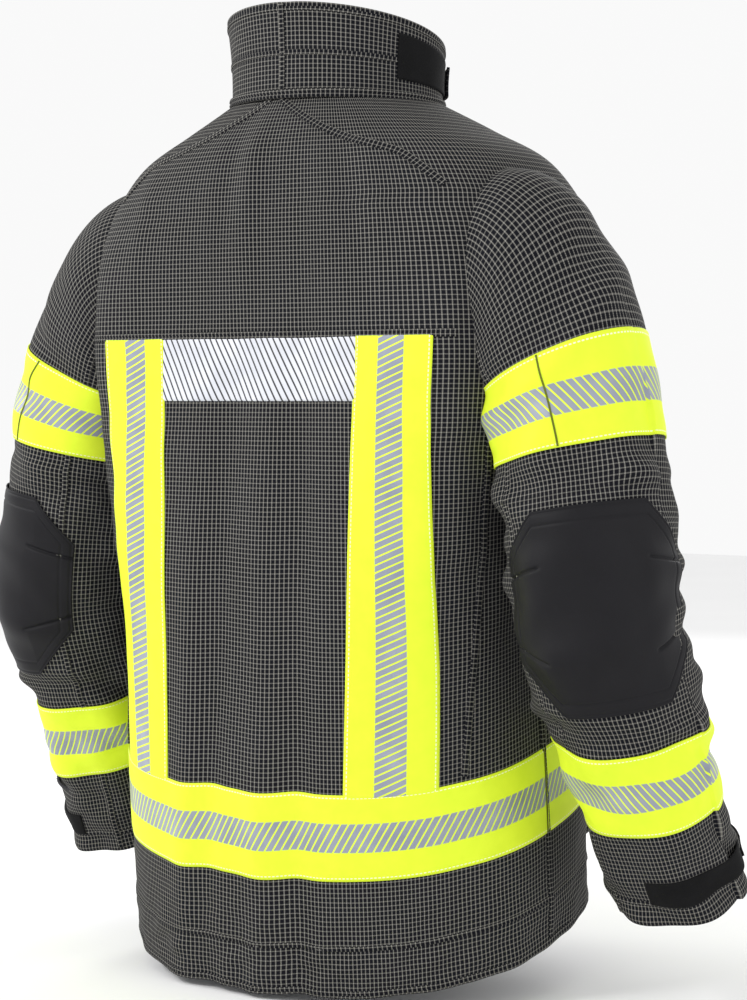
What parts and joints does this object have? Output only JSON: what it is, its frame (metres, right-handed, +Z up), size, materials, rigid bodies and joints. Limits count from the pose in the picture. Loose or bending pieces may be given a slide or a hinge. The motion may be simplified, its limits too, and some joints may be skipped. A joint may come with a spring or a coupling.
{
  "type": "turnout coat",
  "caption": "Firefighter's turnout coat with stand-up collar, storm flap over a zip, bellows pockets, padded elbows and reflective bands.",
  "frame": {"origin": "centre of the neck at the height of the collar seam, where the coat hangs on a neck or hanger", "axes": "+Z up along the coat's length, the front faces -Y, the wearer's left is +X"},
  "size_m": [0.75, 0.3501, 0.8599],
  "materials": {
    "shell_fabric": "matt ripstop with a fine pale grid",
    "yellow_tape": "fluorescent tape with a silver stripe",
    "silver_tape": "retroreflective silver",
    "pad_fabric": "smooth coated fabric",
    "loop_fabric": "brushed loop pile",
    "liner_fabric": "quilted lining",
    "knit": "ribbed knit",
    "zip_tape": "woven tape",
    "zip_metal": "dull brass",
    "webbing": "woven webbing"
  },
  "bodies": {
    "torso": {"back_band_left": "yellow_tape", "back_band_right": "yellow_tape", "back_panel": "shell_fabric", "back_patch": "silver_tape", "back_yoke": "shell_fabric", "collar": "shell_fabric", "collar_facing": "liner_fabric", "collar_loop_patch": "loop_fabric", "front_band_left": "yellow_tape", "front_band_right": "yellow_tape", "front_panel_left": "shell_fabric", "front_panel_right": "shell_fabric", "hanger_loop": "webbing", "radio_pocket": "shell_fabric", "shoulder_panel_left": "shell_fabric", "shoulder_panel_right": "shell_fabric", "sleeve_head_left": "shell_fabric", "sleeve_head_right": "shell_fabric", "storm_flap_seam": "shell_fabric", "torso_liner": "liner_fabric", "waist_band": "yellow_tape", "waist_pocket_band_left": "yellow_tape", "waist_pocket_band_right": "yellow_tape", "waist_pocket_left": "shell_fabric", "waist_pocket_right": "shell_fabric", "zipper_tape_left": "zip_tape", "zipper_tape_right": "zip_tape", "zipper_teeth_left": "zip_metal", "zipper_teeth_right": "zip_metal"},
    "sleeve_left": {"sleeve_upper_left": "shell_fabric", "sleeve_liner_upper_left": "liner_fabric", "sleeve_band_upper_left": "yellow_tape", "sleeve_elbow_left": "shell_fabric", "elbow_pad_left": "pad_fabric"},
    "sleeve_right": {"sleeve_upper_right": "shell_fabric", "sleeve_liner_upper_right": "liner_fabric", "sleeve_band_upper_right": "yellow_tape", "sleeve_elbow_right": "shell_fabric", "elbow_pad_right": "pad_fabric"},
    "forearm_left": {"sleeve_lower_left": "shell_fabric", "sleeve_liner_lower_left": "liner_fabric", "sleeve_band_lower_left": "yellow_tape", "cuff_loop_left": "loop_fabric", "wristlet_left": "knit"},
    "forearm_right": {"sleeve_lower_right": "shell_fabric", "sleeve_liner_lower_right": "liner_fabric", "sleeve_band_lower_right": "yellow_tape", "cuff_loop_right": "loop_fabric", "wristlet_right": "knit"},
    "cuff_tab_left": {"cuff_tab_left": "loop_fabric"},
    "cuff_tab_right": {"cuff_tab_right": "loop_fabric"},
    "storm_flap": {"storm_flap": "shell_fabric", "storm_flap_band": "yellow_tape"},
    "throat_tab": {"throat_tab": "shell_fabric"},
    "slider": {"zipper_slider": "zip_metal"},
    "pull": {"zipper_pull": "zip_metal"},
    "pocket_flap_left": {"waist_pocket_flap_left": "shell_fabric"},
    "pocket_flap_right": {"waist_pocket_flap_right": "shell_fabric"},
    "radio_flap": {"radio_pocket_flap": "shell_fabric"}
  },
  "joints": [
    {"name": "sleeve_left_raise", "type": "hinge", "parent": "torso", "child": "sleeve_left", "pos_m": [0.222, 0.015, -0.085], "axis": [0, -1, 0], "range_deg": [0, 60], "deforming": ["sleeve_head_left"]},
    {"name": "elbow_left_bend", "type": "hinge", "parent": "sleeve_left", "child": "forearm_left", "pos_m": [0.299, 0.043, -0.43], "axis": [-1, 0, 0], "range_deg": [0, 70], "deforming": ["sleeve_elbow_left", "elbow_pad_left"]},
    {"name": "cuff_tab_left_open", "type": "hinge", "parent": "forearm_left", "child": "cuff_tab_left", "pos_m": [0.27946, -0.10844, -0.664], "axis": [0, -0.3404, -0.9403], "range_deg": [0, 60]},
    {"name": "pocket_flap_left_lift", "type": "hinge", "parent": "torso", "child": "pocket_flap_left", "pos_m": [0.13064, -0.17344, -0.488], "axis": [-0.895, -0.446, 0], "range_deg": [0, 60]},
    {"name": "sleeve_right_raise", "type": "hinge", "parent": "torso", "child": "sleeve_right", "pos_m": [-0.222, 0.015, -0.085], "axis": [0, 1, 0], "range_deg": [0, 60], "deforming": ["sleeve_head_right"]},
    {"name": "elbow_right_bend", "type": "hinge", "parent": "sleeve_right", "child": "forearm_right", "pos_m": [-0.299, 0.043, -0.43], "axis": [-1, 0, 0], "range_deg": [0, 70], "deforming": ["sleeve_elbow_right", "elbow_pad_right"]},
    {"name": "cuff_tab_right_open", "type": "hinge", "parent": "forearm_right", "child": "cuff_tab_right", "pos_m": [-0.27946, -0.10844, -0.664], "axis": [0, 0.3404, 0.9403], "range_deg": [0, 60]},
    {"name": "pocket_flap_right_lift", "type": "hinge", "parent": "torso", "child": "pocket_flap_right", "pos_m": [-0.13064, -0.17344, -0.488], "axis": [-0.895, 0.446, 0], "range_deg": [0, 60]},
    {"name": "radio_flap_lift", "type": "hinge", "parent": "torso", "child": "radio_flap", "pos_m": [0.12221, -0.16127, -0.168], "axis": [-0.9249, -0.3803, 0], "range_deg": [0, 60]},
    {"name": "storm_flap_open", "type": "hinge", "parent": "torso", "child": "storm_flap", "pos_m": [0.0377, -0.18365, -0.40815], "axis": [0, 0.0763, 0.9971], "range_deg": [0, 120]},
    {"name": "throat_tab_open", "type": "hinge", "parent": "torso", "child": "throat_tab", "pos_m": [0.05382, -0.08529, 0.04], "axis": [0, 0, 1], "range_deg": [0, 90]},
    {"name": "zip_travel", "type": "slide", "parent": "torso", "child": "slider", "axis": [0, -0.0763, -0.9971], "range_m": [0, 0.55]},
    {"name": "zip_pull_lift", "type": "hinge", "parent": "slider", "child": "pull", "pos_m": [0, -0.15571, -0.11643], "axis": [-1, 0, 0], "range_deg": [0, 120]}
  ]
}
